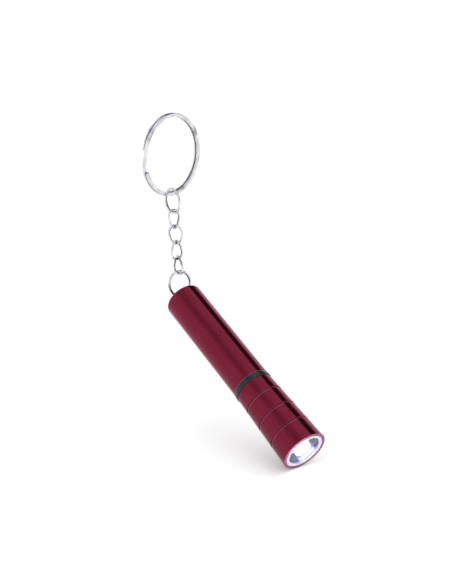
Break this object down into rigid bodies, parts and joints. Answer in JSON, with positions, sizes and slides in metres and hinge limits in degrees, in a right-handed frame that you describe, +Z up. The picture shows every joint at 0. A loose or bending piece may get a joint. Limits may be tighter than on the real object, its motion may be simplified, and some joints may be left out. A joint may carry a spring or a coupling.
{
  "type": "keychain flashlight",
  "caption": "Slim keychain torch with a flared twist-to-light head, hung by a short link chain from a split key ring.",
  "frame": {"origin": "centre of the split ring's hole, where a hook or a finger holds it", "axes": "+Z up, against gravity, with the chain hanging down; the torch lies in the XZ plane with its lit head towards +X; +Y completes the frame"},
  "size_m": [0.0704, 0.0245, 0.0919],
  "materials": {
    "nickel_wire": "bright nickel-plated steel wire",
    "burgundy_coat": "glossy burgundy anodised and lacquered turned aluminium",
    "black_seal": "smooth black rubber with a soft shine",
    "spring_steel": "plain bright spring wire",
    "white_plastic": "moulded white plastic",
    "cell_steel": "stamped stainless steel can",
    "contact_brass": "bare stamped brass",
    "led_epoxy": "clear epoxy lamp body, lit white",
    "mirror_cup": "vacuum-metallised plastic cup",
    "clear_lens": "clear polished plastic window",
    "glow_ring": "translucent white plastic, lit from behind"
  },
  "bodies": {
    "split_ring": {"split_ring": "nickel_wire"},
    "jump_ring_top": {"jump_ring_top": "nickel_wire"},
    "chain_link_1": {"chain_link_1": "nickel_wire"},
    "chain_link_2": {"chain_link_2": "nickel_wire"},
    "chain_link_3": {"chain_link_3": "nickel_wire"},
    "chain_link_4": {"chain_link_4": "nickel_wire"},
    "jump_ring_tail": {"jump_ring_tail": "nickel_wire"},
    "torch": {"barrel": "burgundy_coat", "tail_eyelet": "nickel_wire", "eyelet_washer": "nickel_wire", "seal_ring": "black_seal", "tail_spring": "spring_steel", "battery_sleeve": "white_plastic", "cell_1": "cell_steel", "cell_2": "cell_steel", "cell_3": "cell_steel", "cell_4": "cell_steel", "contact_button": "contact_brass", "led_holder": "white_plastic", "anode_leg": "spring_steel", "cathode_leg": "spring_steel", "led": "led_epoxy", "contact_ring": "contact_brass"},
    "head": {"head_shell": "burgundy_coat", "contact_washer": "contact_brass", "reflector": "mirror_cup", "lens": "clear_lens", "front_ring": "glow_ring"}
  },
  "joints": [
    {"name": "top_jump_swing", "type": "hinge", "parent": "split_ring", "child": "jump_ring_top", "pos_m": [0, 0, -0.01183], "axis": [0.2419, -0.9703, 0], "range_deg": [-80, 80]},
    {"name": "link_1_swing", "type": "hinge", "parent": "jump_ring_top", "child": "chain_link_1", "pos_m": [0.00077, 0, -0.01767], "axis": [0.9914, 0, 0.1305], "range_deg": [-80, 80]},
    {"name": "link_2_swing", "type": "hinge", "parent": "chain_link_1", "child": "chain_link_2", "pos_m": [0.00138, 0, -0.02233], "axis": [-0.2399, 0.9703, -0.0316], "range_deg": [-80, 80]},
    {"name": "link_3_swing", "type": "hinge", "parent": "chain_link_2", "child": "chain_link_3", "pos_m": [0.002, 0, -0.02704], "axis": [-0.9057, -0.4067, -0.1192], "range_deg": [-80, 80]},
    {"name": "link_4_swing", "type": "hinge", "parent": "chain_link_3", "child": "chain_link_4", "pos_m": [0.00262, 0, -0.03175], "axis": [0.2399, -0.9703, 0.0316], "range_deg": [-80, 80]},
    {"name": "tail_jump_swing", "type": "hinge", "parent": "chain_link_4", "child": "jump_ring_tail", "pos_m": [0.00324, 0, -0.03646], "axis": [0.9913, -0.0175, 0.1305], "range_deg": [-80, 80]},
    {"name": "torch_swing", "type": "hinge", "parent": "jump_ring_tail", "child": "torch", "pos_m": [0.00412, 0, -0.0431], "axis": [0, 1, 0], "range_deg": [-34, 145]},
    {"name": "head_twist", "type": "hinge", "parent": "torch", "child": "head", "pos_m": [0.04096, 0, -0.06188], "axis": [0.891, 0, -0.454], "range_deg": [0, 90]}
  ]
}
